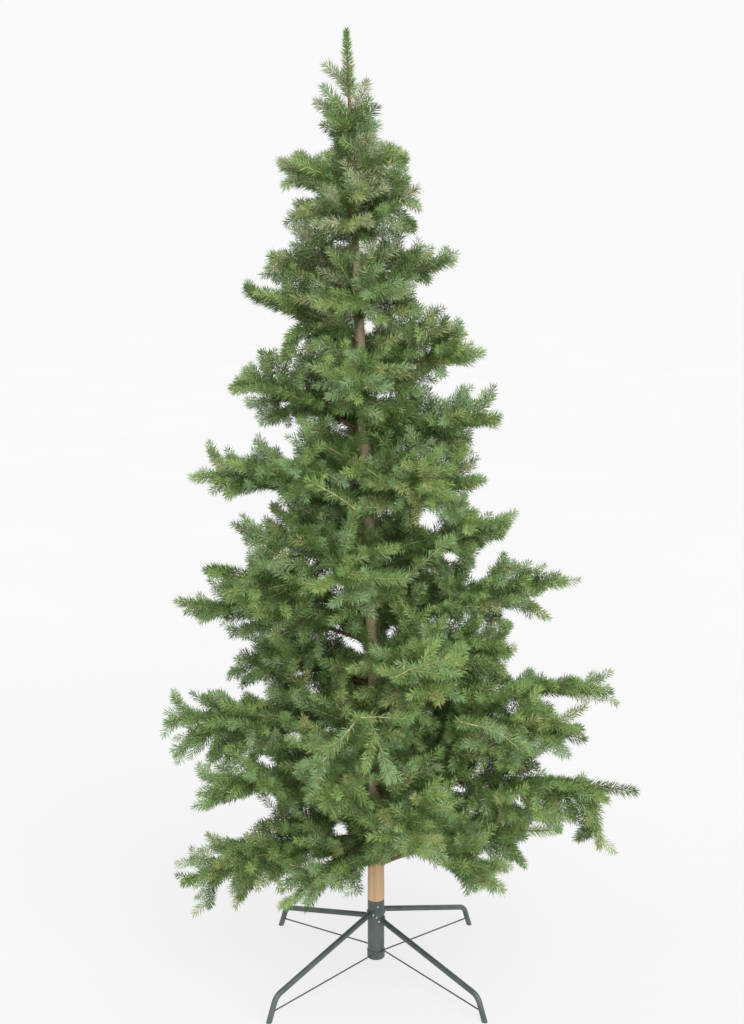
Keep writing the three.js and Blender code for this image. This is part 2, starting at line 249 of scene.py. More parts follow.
# the finishes that are a fine mottle of two or three colours; "grain" is a second, finer mottle for the bump
looks = {
    "boughTape": {
        "roughness": 0.7, "metallic": 0.0, "scale": 140.0, "detail": 5.0,
        "stops": [(0.32, (0.10, 0.055, 0.028)), (0.5, (0.27, 0.155, 0.075)), (0.7, (0.46, 0.30, 0.16))],
        "bump": (0.5, 0.0008),
    },
    "twigBark": {
        "roughness": 0.6, "metallic": 0.0, "scale": 45.0, "detail": 3.0,
        "stops": [(0.36, (0.27, 0.205, 0.095)), (0.62, (0.54, 0.445, 0.25))],
    },
    # satin powder coat with its fine orange peel
    "standPowderCoat": {
        "roughness": 0.42, "metallic": 0.15, "scale": 30.0, "detail": 3.0,
        "stops": [(0.35, (0.060, 0.078, 0.072)), (0.68, (0.092, 0.112, 0.104))],
        "bump": (0.25, 0.0002), "grain": 900.0,
    },
    "capPlastic": {
        "roughness": 0.5, "metallic": 0.0, "scale": 60.0, "detail": 3.0,
        "stops": [(0.35, (0.052, 0.072, 0.064)), (0.68, (0.078, 0.1, 0.09))],
        "bump": (0.15, 0.0002), "grain": 700.0,
    },
    "rivetSteel": {
        "roughness": 0.3, "metallic": 0.9, "scale": 500.0, "detail": 2.0,
        "stops": [(0.3, (0.42, 0.43, 0.42)), (0.7, (0.62, 0.63, 0.62))],
    },
}


def mottled(name):
    look = looks[name]
    material, tree, shader = newMaterial(name, look["roughness"], look["metallic"])
    patches = mottle(tree, look["scale"], look["detail"])
    tree.links.new(ramp(tree, patches, look["stops"]), shader.inputs["Base Color"])
    if "bump" in look:
        height = mottle(tree, look["grain"], 2.0) if "grain" in look else patches
        bumpFrom(tree, shader, height, *look["bump"])
    return material


# plain greens, dealt out shoot by shoot
needleGreens = {
    "needlesDeep": (0.100, 0.172, 0.044),
    "needlesMid": (0.212, 0.336, 0.102),
    "needlesBlue": (0.245, 0.378, 0.168),
    "needlesFresh": (0.285, 0.415, 0.125),
    "needlesOlive": (0.300, 0.365, 0.125),
    "needlesPale": (0.350, 0.410, 0.225),
}


def needleGreen(name):
    material, _, shader = newMaterial(name, 0.5)
    setInputs(shader, {"Base Color": (*needleGreens[name], 1), "Specular IOR Level": 0.3})
    return material


paint = mottled("standPowderCoat")
plastic = mottled("capPlastic")
rivet = mottled("rivetSteel")
wrap = woodWrap()
tape = mottled("boughTape")
twigSkin = mottled("twigBark")
print("finishes made")


trunk = {
    "foot": 41 * mm, "top": 1845 * mm, "height": 2100 * mm, "leanFrom": 650 * mm, "lean": -63 * mm,
    # height and radius: bare in the sleeve, widest where the wrap ends over it, then three tubes
    "steps": [
        (41, 17.6), (177.5, 17.6), (178, 19.6), (330, 18.2), (470, 16.8), (760, 16.4),
        (772, 15.4), (1240, 14.6), (1252, 12.4), (1600, 10.2), (1612, 7.6), (1845, 6.0),
    ],
    "ringEvery": 11 * mm, "sides": 40, "relief": 0.45 * mm,
    "furrows": 5,  # round the trunk; along it they wander this far, this often
    "wander": ((9, 9), (4, 31)),
    "swells": (3, 40, 23),  # round the trunk, and along it
    "shares": (0.2, 0.5, 0.3),  # of the relief: furrows, swells, and how far all of it is sunk
}


def trunkAxis(z):
    share = max(0.0, (z - trunk["leanFrom"]) / (trunk["height"] - trunk["leanFrom"]))
    return Vector((trunkX + trunk["lean"] * share, trunkY, z))


def trunkRadius(z):
    heights, radii = zip(*trunk["steps"])
    return float(np.interp(z, np.array(heights) * mm, np.array(radii) * mm))


def makeTrunk():
    count = int((trunk["top"] - trunk["foot"]) / trunk["ringEvery"])
    even = np.linspace(trunk["foot"], trunk["top"], count + 1)
    heights = sorted({*even, *(height * mm for height, _ in trunk["steps"][1:-1])})
    piece = turnedPiece("trunkPole", [(trunkRadius(z), z) for z in heights], trunk["sides"])
    capEnds(piece)
    points = np.empty(len(piece.data.vertices) * 3)
    piece.data.vertices.foreach_get("co", points)
    points = points.reshape(-1, 3)
    z = points[:, 2]
    angle = np.arctan2(points[:, 1], points[:, 0])
    # long shallow furrows that wander, and the swellings of the moulded bark
    furrow = np.sin(trunk["furrows"] * angle + sum(far * np.sin(often * z) for far, often in trunk["wander"]))
    about, climb, along = trunk["swells"]
    swell = np.sin(about * angle + climb * z) * np.sin(along * z + 1.7)
    furrowShare, swellShare, sunk = trunk["shares"]
    aboveSleeve = z > sleeveHigh.z + 4 * mm
    relief = trunk["relief"] * (np.where(aboveSleeve, furrowShare * furrow + swellShare * swell, 0) - sunk)
    out = points[:, :2] / np.maximum(np.linalg.norm(points[:, :2], axis=1), 1e-6)[:, None]
    points[:, :2] += out * relief[:, None]
    share = np.maximum(0, (z - trunk["leanFrom"]) / (trunk["height"] - trunk["leanFrom"]))
    points[:, 0] += trunkX + trunk["lean"] * share
    points[:, 1] += trunkY
    piece.data.vertices.foreach_set("co", points.ravel())
    faceOut(piece)
    smooth(piece, 50)
    finishPiece(piece, wrap, ["trunk_pole"])


makeTrunk()
print("trunk made")


stand = {
    "turn": 45.5,  # azimuth of the first leg, in degrees
    "tube": 6.3 * mm, "footReach": 330 * mm, "bendReach": 309 * mm, "bendHeight": 53 * mm,
    "bendRadius": 30 * mm, "legHeights": (146 * mm, 130 * mm), "root": 20.5 * mm, "bendSteps": 10,
    "sides": 24, "edge": 0.7 * mm,
}


def azimuthOf(number):
    return math.radians(stand["turn"] + 90 * number)


def makeLeg(number):
    height = stand["legHeights"][number % 2]
    root = Vector((stand["root"], 0, height))
    bend = Vector((stand["bendReach"], 0, stand["bendHeight"]))
    foot = Vector((stand["footReach"], 0, 0))
    before = (bend - root).normalized()
    after = (foot - bend).normalized()
    angle = before.angle(after)
    setBack = stand["bendRadius"] * math.tan(angle / 2)
    start = bend - before * setBack
    end = bend + after * setBack
    centre = start + Vector((before.z, 0, -before.x)) * stand["bendRadius"]
    deselectAll()
    bpy.ops.mesh.primitive_circle_add(
        vertices=stand["sides"],
        radius=stand["tube"],
        location=root,
        rotation=before.to_track_quat("Z", "Y").to_euler(),
    )
    leg = namedPiece(f"standLeg{number + 1}")
    editMode(leg)
    bpy.ops.mesh.extrude_region_move(TRANSFORM_OT_translate={"value": start - root})
    bpy.ops.mesh.spin(steps=stand["bendSteps"], angle=-angle, center=centre, axis=(0, 1, 0))
    past = foot + after * 2 * stand["tube"]  # cut level at the floor afterwards
    bpy.ops.mesh.extrude_region_move(TRANSFORM_OT_translate={"value": past - end})
    bpy.ops.mesh.select_all(action="SELECT")
    bpy.ops.mesh.bisect(plane_co=(0, 0, 0), plane_no=(0, 0, -1), clear_outer=True)
    objectMode()
    capEnds(leg)
    faceOut(leg)
    roundEdges(leg, stand["edge"], 40)
    finishStandPiece(leg, paint, f"stand_leg_{number + 1}", azimuthOf(number))


saddle = {
    "inner": 19.5 * mm, "thick": 2 * mm, "high": 13 * mm, "spread": 76.0, "steps": 18, "corner": 3.5 * mm,
    "cornerSteps": 5, "edge": 0.4 * mm,
}


def makeSaddle(number):
    # the curved plate that holds the leg to the sleeve
    height = stand["legHeights"][number % 2]
    deselectAll()
    bpy.ops.mesh.primitive_plane_add(
        size=1, location=(saddle["inner"] + saddle["thick"] / 2, 0, height), rotation=(math.pi / 2, 0, 0)
    )
    plate = namedPiece(f"legSaddle{number + 1}", (saddle["thick"], saddle["high"], 1))
    editMode(plate)
    spread = math.radians(saddle["spread"])
    bpy.ops.mesh.spin(steps=saddle["steps"], angle=-spread, center=(0, 0, height), axis=(0, 0, 1))
    objectMode()
    capEnds(plate)
    faceOut(plate)
    # the four short edges at the plate's ends are rounded to corners
    corners = [e.index for e in plate.data.edges if isSaddleCorner(plate, e)]
    editMode(plate, "DESELECT")
    bpy.ops.mesh.select_mode(type="EDGE")
    objectMode()
    for corner in corners:
        plate.data.edges[corner].select = True
    bpy.ops.object.mode_set(mode="EDIT")
    bpy.ops.mesh.bevel(offset=saddle["corner"], segments=saddle["cornerSteps"], affect="EDGES")
    objectMode()
    roundEdges(plate, saddle["edge"])
    points = plate.data.vertices
    middle = math.atan2(sum(v.co.y for v in points), sum(v.co.x for v in points))
    finishStandPiece(plate, paint, f"stand_leg_{number + 1}", azimuthOf(number) - middle)


def isSaddleCorner(plate, edge):
    a, b = (plate.data.vertices[i].co for i in edge.vertices)
    if abs(a.z - b.z) > 0.1 * mm:
        return False
    radial = abs(math.hypot(a.x, a.y) - math.hypot(b.x, b.y))
    if radial < 0.8 * saddle["thick"]:  # it runs along the plate or round it, not through it
        return False
    angles = [math.atan2(v.co.y, v.co.x) for v in plate.data.vertices]
    here = math.atan2(a.y, a.x)
    return here < min(angles) + 0.01 or here > max(angles) - 0.01


# the rods pair up: two are pinned low on the hub, on its cap, and two above it
rod = {
    "radius": 1.7 * mm, "sides": 14, "hubs": (20.7 * mm, 19.5 * mm), "heights": (42 * mm, 59 * mm),
    "foot": (322 * mm, 21 * mm), "edge": 0.4 * mm,
}


def makeRod(number):
    # the thin brace from the hub to the leg's foot
    inner = Vector((rod["hubs"][number % 2], 0, rod["heights"][number % 2]))
    outer = Vector((rod["foot"][0], 0, rod["foot"][1]))
    along = outer - inner
    deselectAll()
    bpy.ops.mesh.primitive_cylinder_add(
        vertices=rod["sides"],
        radius=rod["radius"],
        depth=along.length,
        location=(inner + outer) / 2,
        rotation=along.to_track_quat("Z", "Y").to_euler(),
    )
    piece = namedPiece(f"footRod{number + 1}")
    roundEdges(piece, rod["edge"])
    finishStandPiece(piece, paint, f"stand_leg_{number + 1}", azimuthOf(number))


rivetHead = {
    "radius": 2.5 * mm, "sunk": 0.4 * mm, "rim": 0.3 * mm, "high": 1.3 * mm, "domeStep": 28.0, "sides": 20,
    "spread": 27.0,  # in degrees, from the leg's azimuth
}


def makeRivet(name, azimuth, reach, height, node):
    # a low dome that stands out of the plate
    radius, rim = rivetHead["radius"], rivetHead["rim"]
    rings = [(radius, -rivetHead["sunk"]), (radius, rim)]
    for step in (1, 2, 3):
        lift = math.radians(rivetHead["domeStep"] * step)
        rings.append((radius * math.cos(lift), rim + rivetHead["high"] * math.sin(lift)))
    head = turnedPiece(name, rings, rivetHead["sides"])
    capEnds(head)
    faceOut(head, 0.005 * mm)
    settle(head, (reach, 0, height), (0, math.pi / 2, 0))
    finishStandPiece(head, rivet, node, azimuth, angle=50)


sleeve = {
    "outer": 19.2 * mm, "bore": 17.9 * mm, "edge": 0.5 * mm, "groove": (54.4 * mm, 56.6 * mm),
    "grooveDeep": 0.9 * mm, "grooveSlope": 0.3 * mm, "sides": 72,
}


def makeSleeve():
    # the steel tube that takes the trunk, with the crimped groove above its cap
    low, high = sleeveLow.z, sleeveHigh.z
    outer, bore, edge = sleeve["outer"], sleeve["bore"], sleeve["edge"]
    grooveLow, grooveHigh = sleeve["groove"]
    deep, slope = outer - sleeve["grooveDeep"], sleeve["grooveSlope"]
    rings = [
        (bore, low), (outer, low), (outer, grooveLow), (deep, grooveLow + slope), (deep, grooveHigh - slope),
        (outer, grooveHigh), (outer, high - edge), (outer - edge, high), (bore + edge, high),
        (bore, high - edge), (bore, low),
    ]
    piece = turnedPiece("standSleeve", rings, sleeve["sides"])
    faceOut(piece)
    finishStandPiece(piece, paint, "stand_sleeve")


cap = {
    "outer": 20.4 * mm, "bore": 19.5 * mm, "low": 34 * mm, "high": 54 * mm, "floor": 40.7 * mm,
    "edge": 3.5 * mm, "edgeSteps": 5, "lip": 0.4 * mm, "middle": 1 * mm,
}


def makeEndCap():
    # the cup that closes the sleeve from below
    outer, low, high, edge, lip = cap["outer"], cap["low"], cap["high"], cap["edge"], cap["lip"]
    rings = [(cap["middle"], low), (outer - edge, low)]
    for step in range(1, cap["edgeSteps"] + 1):
        turn = math.radians(90 / cap["edgeSteps"] * step)
        rings.append((outer - edge + edge * math.sin(turn), low + edge - edge * math.cos(turn)))
    rings += [(outer, high - lip), (outer - lip, high), (cap["bore"], high)]
    rings += [(cap["bore"], cap["floor"]), (cap["middle"], cap["floor"])]
    piece = turnedPiece("standEndCap", rings, sleeve["sides"])
    capEnds(piece)
    faceOut(piece)
    finishStandPiece(piece, plastic, "stand_end_cap")


for number in range(4):
    makeLeg(number)
    makeSaddle(number)
    makeRod(number)
    for side in (-1, 1):
        makeRivet(
            f"saddleRivet{2 * number + (side + 3) // 2}",
            azimuthOf(number) + side * math.radians(rivetHead["spread"]),
            saddle["inner"] + saddle["thick"],
            stand["legHeights"][number % 2],
            f"stand_leg_{number + 1}",
        )
makeSleeve()
makeEndCap()
for name, azimuth, height in (("sleeveScrew", 283, 165 * mm), ("sleevePin", 276, 139 * mm)):
    makeRivet(name, math.radians(azimuth), sleeve["outer"], height, "stand_sleeve")
print("stand made")


# tier by tier: azimuth in degrees, height at the trunk, reach and height of the tip, as in the solids
boughTiers = [
    [
        (190, 335, 450, 245), (243, 335, 335, 302), (318, 350, 375, 305), (18, 258, 465, 285),
        (108, 320, 430, 300),
    ],
    [
        (352, 430, 592, 465), (203, 480, 425, 490), (283, 450, 430, 460), (58, 455, 460, 470),
        (140, 450, 370, 340),
    ],
    [
        (184, 570, 480, 610), (338, 585, 490, 620), (256, 590, 440, 560), (12, 600, 570, 635),
        (98, 600, 440, 630),
    ],
    [
        (150, 680, 390, 690), (350, 730, 322, 785), (10, 810, 455, 905), (290, 745, 395, 760),
        (75, 770, 410, 820),
    ],
    [
        (163, 780, 470, 840), (207, 850, 400, 990), (343, 965, 318, 1072), (45, 930, 380, 990),
        (252, 940, 350, 980),
    ],
    [
        (195, 960, 290, 1040), (188, 1080, 385, 1165), (18, 1080, 285, 1140), (118, 960, 350, 1020),
        (302, 1110, 290, 1170),
    ],
    [(355, 1210, 302, 1295), (232, 1150, 270, 1210), (88, 1170, 290, 1230), (172, 1255, 290, 1370)],
    [(352, 1370, 272, 1430), (268, 1330, 225, 1390), (80, 1350, 235, 1410), (188, 1430, 238, 1552)],
    [(5, 1545, 215, 1625), (285, 1500, 190, 1570), (95, 1500, 195, 1570), (178, 1550, 200, 1635)],
    [
        (182, 1715, 162, 1828), (352, 1680, 143, 1778), (262, 1655, 125, 1765), (88, 1680, 125, 1800),
        (25, 1765, 94, 1872),
    ],
]
bough = {
    "arch": 0.05, "root": 5.0 * mm, "tip": 1.3 * mm,
    "lump": 0.09,  # how uneven its taped wire is
    "sides": 8, "ringEvery": 9 * mm,
    "from": 0.6,  # of the trunk's radius, from its axis
    "upTo": 0.93, "samples": 24,
}
leaderWire = {
    "from": 1870 * mm, "bend": 1985 * mm, "reach": 240 * mm, "root": 5.6 * mm, "intoTrunk": 5 * mm,
    "upTo": 0.75,
}
drawSteps = (12.9898, 78.233, 37.719, 43758.5453)  # what makes the repeatable draws look random


def scatter(massNumber, kind, item):
    # a repeatable draw from -1 to 1
    first, second, third, high = drawSteps
    wave = math.sin(massNumber * first + kind * second + item * third) * high
    return 2 * (wave - math.floor(wave)) - 1


def boughCurve(azimuth, rootHeight, reach, tipHeight):
    # the three control points of the bough's arc
    azimuth = math.radians(azimuth)
    out = Vector((math.cos(azimuth), math.sin(azimuth), 0))
    foot = trunkAxis(rootHeight * mm)
    middle = foot + out * (reach * mm / 2)
    middle.z = ((rootHeight + tipHeight) / 2 + bough["arch"] * reach * 2) * mm
    tip = foot + out * (reach * mm)
    tip.z = tipHeight * mm
    return foot, middle, tip


def pointOn(curve, t):
    a, b, c = curve
    return a * (1 - t) ** 2 + b * (2 * t * (1 - t)) + c * t**2


def tangentOn(curve, t):
    a, b, c = curve
    return ((b - a) * (1 - t) + (c - b) * t).normalized()


def curveLength(curve):
    return sum((pointOn(curve, (i + 1) / 8) - pointOn(curve, i / 8)).length for i in range(8))


boughs = []
for t, tier in enumerate(boughTiers):
    for b, numbers in enumerate(tier):
        reach = numbers[2] * mm
        boughs.append({"number": 10 * (t + 1) + b + 1, "curve": boughCurve(*numbers), "reach": reach})
leaderCurve = (trunkAxis(leaderWire["from"]), trunkAxis(leaderWire["bend"]), trunkAxis(trunk["height"]))
leader = {"number": 110, "curve": leaderCurve, "reach": leaderWire["reach"]}
masses = boughs + [leader]
massPoints = np.array([[pointOn(m["curve"], t) for t in np.linspace(0, 1, bough["samples"])] for m in masses])


def frameAlong(forward):
    reference = Vector((0, 1, 0)) if abs(forward.z) > 0.95 else Vector((0, 0, 1))
    side = forward.cross(reference).normalized()
    return forward, side, side.cross(forward)


def branchOff(along, splay, turn):
    forward, side, up = along
    splay, turn = math.radians(splay), math.radians(turn)
    return forward * math.cos(splay) + (side * math.cos(turn) + up * math.sin(turn)) * math.sin(splay)


def meshFrom(name, points, faces):
    # a joined mesh from arrays of triangles
    mesh = bpy.data.meshes.new(name)
    mesh.vertices.add(len(points))
    mesh.vertices.foreach_set("co", np.asarray(points, np.float32).ravel())
    mesh.loops.add(len(faces) * 3)
    mesh.loops.foreach_set("vertex_index", np.asarray(faces, np.int32).ravel())
    mesh.polygons.add(len(faces))
    mesh.polygons.foreach_set("loop_start", np.arange(len(faces), dtype=np.int32) * 3)
    mesh.update(calc_edges=True)
    piece = bpy.data.objects.new(name, mesh)
    bpy.context.scene.collection.objects.link(piece)
    return piece


def tubeArrays(centres, radii, sides, start):
    # rings round the centres, closed at both ends, numbered from start
    centres = [Vector(c) for c in centres]
    points, faces = [], []
    for i, centre in enumerate(centres):
        along = (centres[min(i + 1, len(centres) - 1)] - centres[max(i - 1, 0)]).normalized()
        _, side, up = frameAlong(along)
        for k in range(sides):
            angle = 2 * math.pi * k / sides
            points.append(centre + (side * math.cos(angle) + up * math.sin(angle)) * radii[i])
    for i in range(len(centres) - 1):
        for k in range(sides):
            a = start + i * sides + k
            b = start + i * sides + (k + 1) % sides
            faces += [(a, b, b + sides), (a, b + sides, a + sides)]
    last = start + (len(centres) - 1) * sides
    for k in range(1, sides - 1):
        faces += [(start, start + k + 1, start + k), (last, last + k, last + k + 1)]
    return points, faces


def makeBoughs():
    # one tapering limb each, its taped wire a little lumpy
    points, faces = [], []
    for m in masses:
        count = max(6, int(m["reach"] / bough["ringEvery"]))
        first, last = trunkRadius(m["curve"][0].z) * bough["from"] / m["reach"], bough["upTo"]
        if m is leader:
            first, last = 0, leaderWire["upTo"]
        shares = np.linspace(first, last, count)
        centres = [pointOn(m["curve"], t) for t in shares]
        radii = []
        for i, t in enumerate(shares):
            lump = 1 + bough["lump"] * scatter(m["number"], 20, i)
            radii.append((bough["root"] + (bough["tip"] - bough["root"]) * t) * lump)
        if m is leader:
            centres = [trunkAxis(trunk["top"] - leaderWire["intoTrunk"])] + centres
            radii = [leaderWire["root"]] + radii
        more, moreFaces = tubeArrays(centres, radii, bough["sides"], len(points))
        points += more
        faces += moreFaces
    piece = meshFrom("boughLimbs", points, faces)
    smooth(piece, 60)
    finishPiece(piece, tape, boughNodes + foliageNodes)


makeBoughs()
print("boughs made:", len(masses))


twig = {
    "spacing": 10 * mm,  # along the bough; places where the crown is full are passed over
    "from": 0.02, "upTo": 0.88,
    "share": 0.34,  # length of the first twig, as a share of the bough's
    "fade": 0.45,
    "longest": (0.5, 70 * mm, 18 * mm),  # how it falls off towards the bough's end
    "least": 50 * mm, "usual": 115 * mm, "most": 215 * mm,
    "splay": (74.0, 42.0),  # at the trunk and at the bough's end
    "splayRate": 1.3,  # how soon it gets there
    "splayVary": 14.0,
    "tilt": (90.0, 58.0),  # twigs leave all round near the trunk and lie flatter towards the bough's end
    "tiltAt": (0.5, 0.9), "lengthVary": 0.2,
    "lengths": (1, 0.85, 0.7, 0.58, 0.48),  # tried in turn, as shares of the wanted one
    "radius": 1.5 * mm,
    "curl": 0.14,  # how far a twig bends forward, and half as far up
    "intoNext": 42 * mm,  # how far twigs of two masses may mingle
    "segments": 3, "tries": 7,
    "thinner": 0.25,  # from one segment to the next
    "taper": 0.6, "stopShort": 2 * mm,
    # twigs and shoots up to this share of the bough take the darker inner greens, painted shade, and fewer
    # needles
    "innerTo": 0.5,
    "innerCount": 0.9,  # needles in the inner half, as a share of those further out
}
# the bough's own end is a long shoot, and nearer the trunk it has short needles in the darkest green, painted
# shade
boughNeedles = {
    "endFrom": 0.4, "endSteps": 6, "endSize": 1.15, "endCount": 1.8,
    "endShoots": 0.8,  # their spacing, as a share of a twig's
    "innerFrom": 0.08,
    "bareTo": 0.24,  # the limbs of the lowest tier, whose numbers are under 20, are bare up to here
    "bareTier": 20, "innerSteps": 3,
    "inner": 0.9,  # size and count
}
shoot = {
    "spacing": 18 * mm,  # along the twig
    "from": 0.16, "upTo": 0.94, "long": 82 * mm, "short": 48 * mm, "vary": 0.18, "atTip": 34 * mm,
    "lengths": (1, 0.8, 0.62), "splay": 46.0, "splayVary": 10.0, "roll": 34.0, "least": 30 * mm,
    "radius": 0.85 * mm,
    "spotAt": 0.6,  # a shoot takes the room there and at its tip
}
room = {
    "floor": 150 * mm, "overStand": 275 * mm, "standReach": 235 * mm, "past": 12 * mm, "underTip": 8 * mm,
    "offTrunk": 12 * mm,
    "lookAt": (0.25, 0.6, 1),  # the shares along a shoot that are kept out of the openings
}
# shoots allowed about a spot, and how many more close to the trunk
crown = {"spotReach": 42 * mm, "fullTwig": 12, "fullShoot": 14, "heart": 130 * mm, "moreInHeart": 8}
needle = {
    "perMetre": 1210, "long": 19.0 * mm, "wide": 2.0 * mm,
    "waist": 0.5,  # where a needle is widest
    "leave": (56.0, 28.0),  # angle from the shoot, along it and at its tip
    "leaveVary": 9.0, "tipFrom": 0.72, "tipShorter": 0.3, "lengths": (0.82, 1.18),
    "turn": 137.5,  # from one needle to the next, round the shoot
    "fold": 0.35,
    "past": 13 * mm,  # how far the last needles stand out past a shoot's tip
    "least": 6,
    "mostFaces": 190000,  # of a piece
}

runs = []  # stretches that carry needles: start, end, radius, green, whether a tip, needle size and count


def addPath(points, radius, green, size=1.0, count=1.0, isTip=True, thinner=0.0, shorter=0.0, fuller=0.0):
    # a run for each stretch of the path, changing from one to the next
    for s, (start, end) in enumerate(zip(points, points[1:])):
        last = isTip and s == len(points) - 2
        needles = (size - shorter * s, count + fuller * s)
        runs.append((start, end, radius * (1 - thinner * s), green, last, *needles))


spots = np.full((60000, 3), 99.0)  # room for the places that shoots take
spotCount = 0


def takeSpot(*points):
    global spotCount
    for point in points:
        spots[spotCount] = point
        spotCount += 1


def crowding(point):
    away = spots[:spotCount] - np.array(point)
    count = int((np.einsum("ij,ij->i", away, away) < crown["spotReach"] ** 2).sum())
    inHeart = (point - trunkAxis(point.z)).length < crown["heart"]
    return count - (crown["moreInHeart"] if inHeart else 0)


# Where the crown stays open to the sky as seen from the front: x and height from the trunk's foot
# and radius, on the upright plane through the trunk
openToSky = [
    (-15, 1490, 9), (110, 1065, 13), (135, 1045, 11), (165, 980, 11), (225, 940, 13), (-110, 935, 15),
    (-85, 910, 13), (-90, 810, 11), (-55, 790, 13), (-35, 770, 9), (30, 815, 9), (25, 425, 11),
    (-245, 510, 11), (-80, 345, 14), (-110, 265, 11), (195, 445, 7), (325, 415, 7), (430, 410, 11),
    (-360, 885, 9), (-305, 840, 11),
    # past its right side
    (60, 1925, 35), (35, 1895, 28), (80, 1885, 34), (115, 1820, 45), (135, 1790, 34), (95, 1765, 20),
    (130, 1700, 40), (70, 1665, 12), (165, 1570, 42), (200, 1560, 43), (260, 1460, 45), (210, 1380, 17),
    (175, 1385, 18), (150, 1350, 17), (300, 1330, 42), (245, 1305, 14), (230, 1245, 17), (285, 1230, 35),
    (275, 1175, 44), (290, 1130, 35), (230, 1110, 20), (330, 1015, 42), (260, 985, 20), (235, 985, 16),
    (405, 880, 32), (435, 870, 20), (305, 850, 14), (335, 795, 40), (365, 780, 45), (460, 780, 58),
    (405, 750, 44), (315, 730, 20), (385, 660, 11), (420, 645, 18), (450, 625, 24), (310, 630, 12),
    (530, 570, 45), (455, 545, 29), (385, 515, 15), (505, 500, 27), (405, 495, 18), (440, 490, 22),
    (555, 490, 50), (495, 480, 18), (515, 375, 16), (550, 365, 42), (365, 340, 20), (385, 325, 16),
    (420, 300, 32), (350, 295, 20), (410, 220, 57), (325, 200, 44),
    # past its left side
    (-155, 1985, 38), (-180, 1905, 38), (-200, 1885, 42), (-130, 1870, 22), (-240, 1795, 38),
    (-150, 1765, 14), (-240, 1750, 28), (-250, 1685, 28), (-220, 1670, 27), (-280, 1630, 42),
    (-320, 1530, 42), (-245, 1505, 28), (-220, 1495, 34), (-280, 1435, 24), (-325, 1390, 26),
    (-305, 1270, 43), (-230, 1245, 17), (-195, 1210, 12), (-240, 1120, 16), (-265, 1100, 28),
    (-380, 1105, 42), (-355, 1075, 31), (-340, 1005, 43), (-325, 995, 34), (-305, 960, 17), (-420, 950, 42),
    (-420, 885, 17), (-395, 780, 36), (-305, 770, 20), (-325, 750, 18), (-390, 720, 45), (-270, 675, 16),
    (-320, 665, 16), (-480, 440, 32), (-415, 440, 24), (-250, 410, 20), (-275, 400, 26), (-320, 385, 30),
    (-335, 365, 42), (-380, 365, 23),
    # and below it
    (260, 285, 14), (50, 260, 22), (95, 235, 34), (80, 215, 42), (150, 210, 40), (150, 180, 50),
    (345, 200, 30), (240, 165, 28), (300, 135, 28), (-150, 180, 18), (-105, 160, 34), (-60, 135, 42),
    (-130, 120, 46), (-360, 185, 14), (-285, 170, 18), (-260, 120, 26), (-360, 110, 34),
]
# where only the front of the crown is open, to the trunk or into the dark
openInFront = [
    (0, 440, 17), (5, 810, 19), (-25, 1220, 15), (-35, 1500, 16), (-35, 1465, 14), (-50, 1605, 12),
    (-65, 1270, 24), (140, 640, 26), (0, 200, 24), (5, 235, 20),
]
eye = Vector((trunkX, trunkY - camera["away"], camera["height"]))
skies = np.array(openToSky) * mm
fronts = np.array(openInFront) * mm
needleClear = 9 * mm


def covers(openings, x, z):
    return (np.hypot(openings[:, 0] - x, openings[:, 1] - z) < openings[:, 2] + needleClear).any()


def intoOpening(point):
    # whether needles about the point would close an opening
    share = (trunkY - eye.y) / (point.y - eye.y)
    x = eye.x + (point.x - eye.x) * share - trunkX
    z = eye.z + (point.z - eye.z) * share
    if covers(skies, x, z):
        return True
    return point.y < trunkY and covers(fronts, x, z)


def inReach(index, point):
    # nearer to its own bough than to the next, give or take, and clear of trunk, floor and stand
    if point.z > trunk["height"] - room["underTip"] or point.z < room["floor"]:
        return False
    if math.hypot(point.x - trunkX, point.y - trunkY) < room["standReach"] and point.z < room["overStand"]:
        return False
    offTrunk = (point - trunkAxis(point.z)).length
    if index < len(boughs) and offTrunk < trunkRadius(point.z) + room["offTrunk"]:
        return False
    past = room["past"]
    if not (cadLow.x - past < point.x < cadHigh.x + past and cadLow.y - past < point.y < cadHigh.y + past):
        return False
    away = massPoints - np.array(point)
    distance = np.sqrt(np.einsum("ijk,ijk->ij", away, away).min(axis=1))
    return distance[index] < distance.min() + twig["intoNext"]


# the draw that each green is dealt up to: deep ones inside as painted shade, fresh and blue ones towards the
# tips
innerShadeGreens = {"needlesDeep": 0.65, "needlesMid": 0.94}
outerGreens = {"needlesDeep": 0.16, "needlesMid": 0.5, "needlesBlue": 0.74, "needlesFresh": 0.9}
# painted light: a share of the shoots of the top tiers and the leader take the palest green, lighter at the
# crown's top
topLightShare = 0.35
paleFrom = 90  # the top tiers' boughs have higher numbers


def dealGreen(number, item, inner):
    # painted light on the crown's top
    if number > paleFrom and 0.5 + 0.5 * scatter(number, 35, item) < topLightShare:
        return "needlesPale"
    draw = 0.5 + 0.5 * scatter(number, 30, item)
    # painted shade: shoots on the inner half of a bough take mostly the darkest greens
    greens = innerShadeGreens if inner else outerGreens
    return next((green for green, upTo in greens.items() if draw < upTo), "needlesOlive")


def isClear(start, end):
    return not any(intoOpening(start.lerp(end, share)) for share in room["lookAt"])


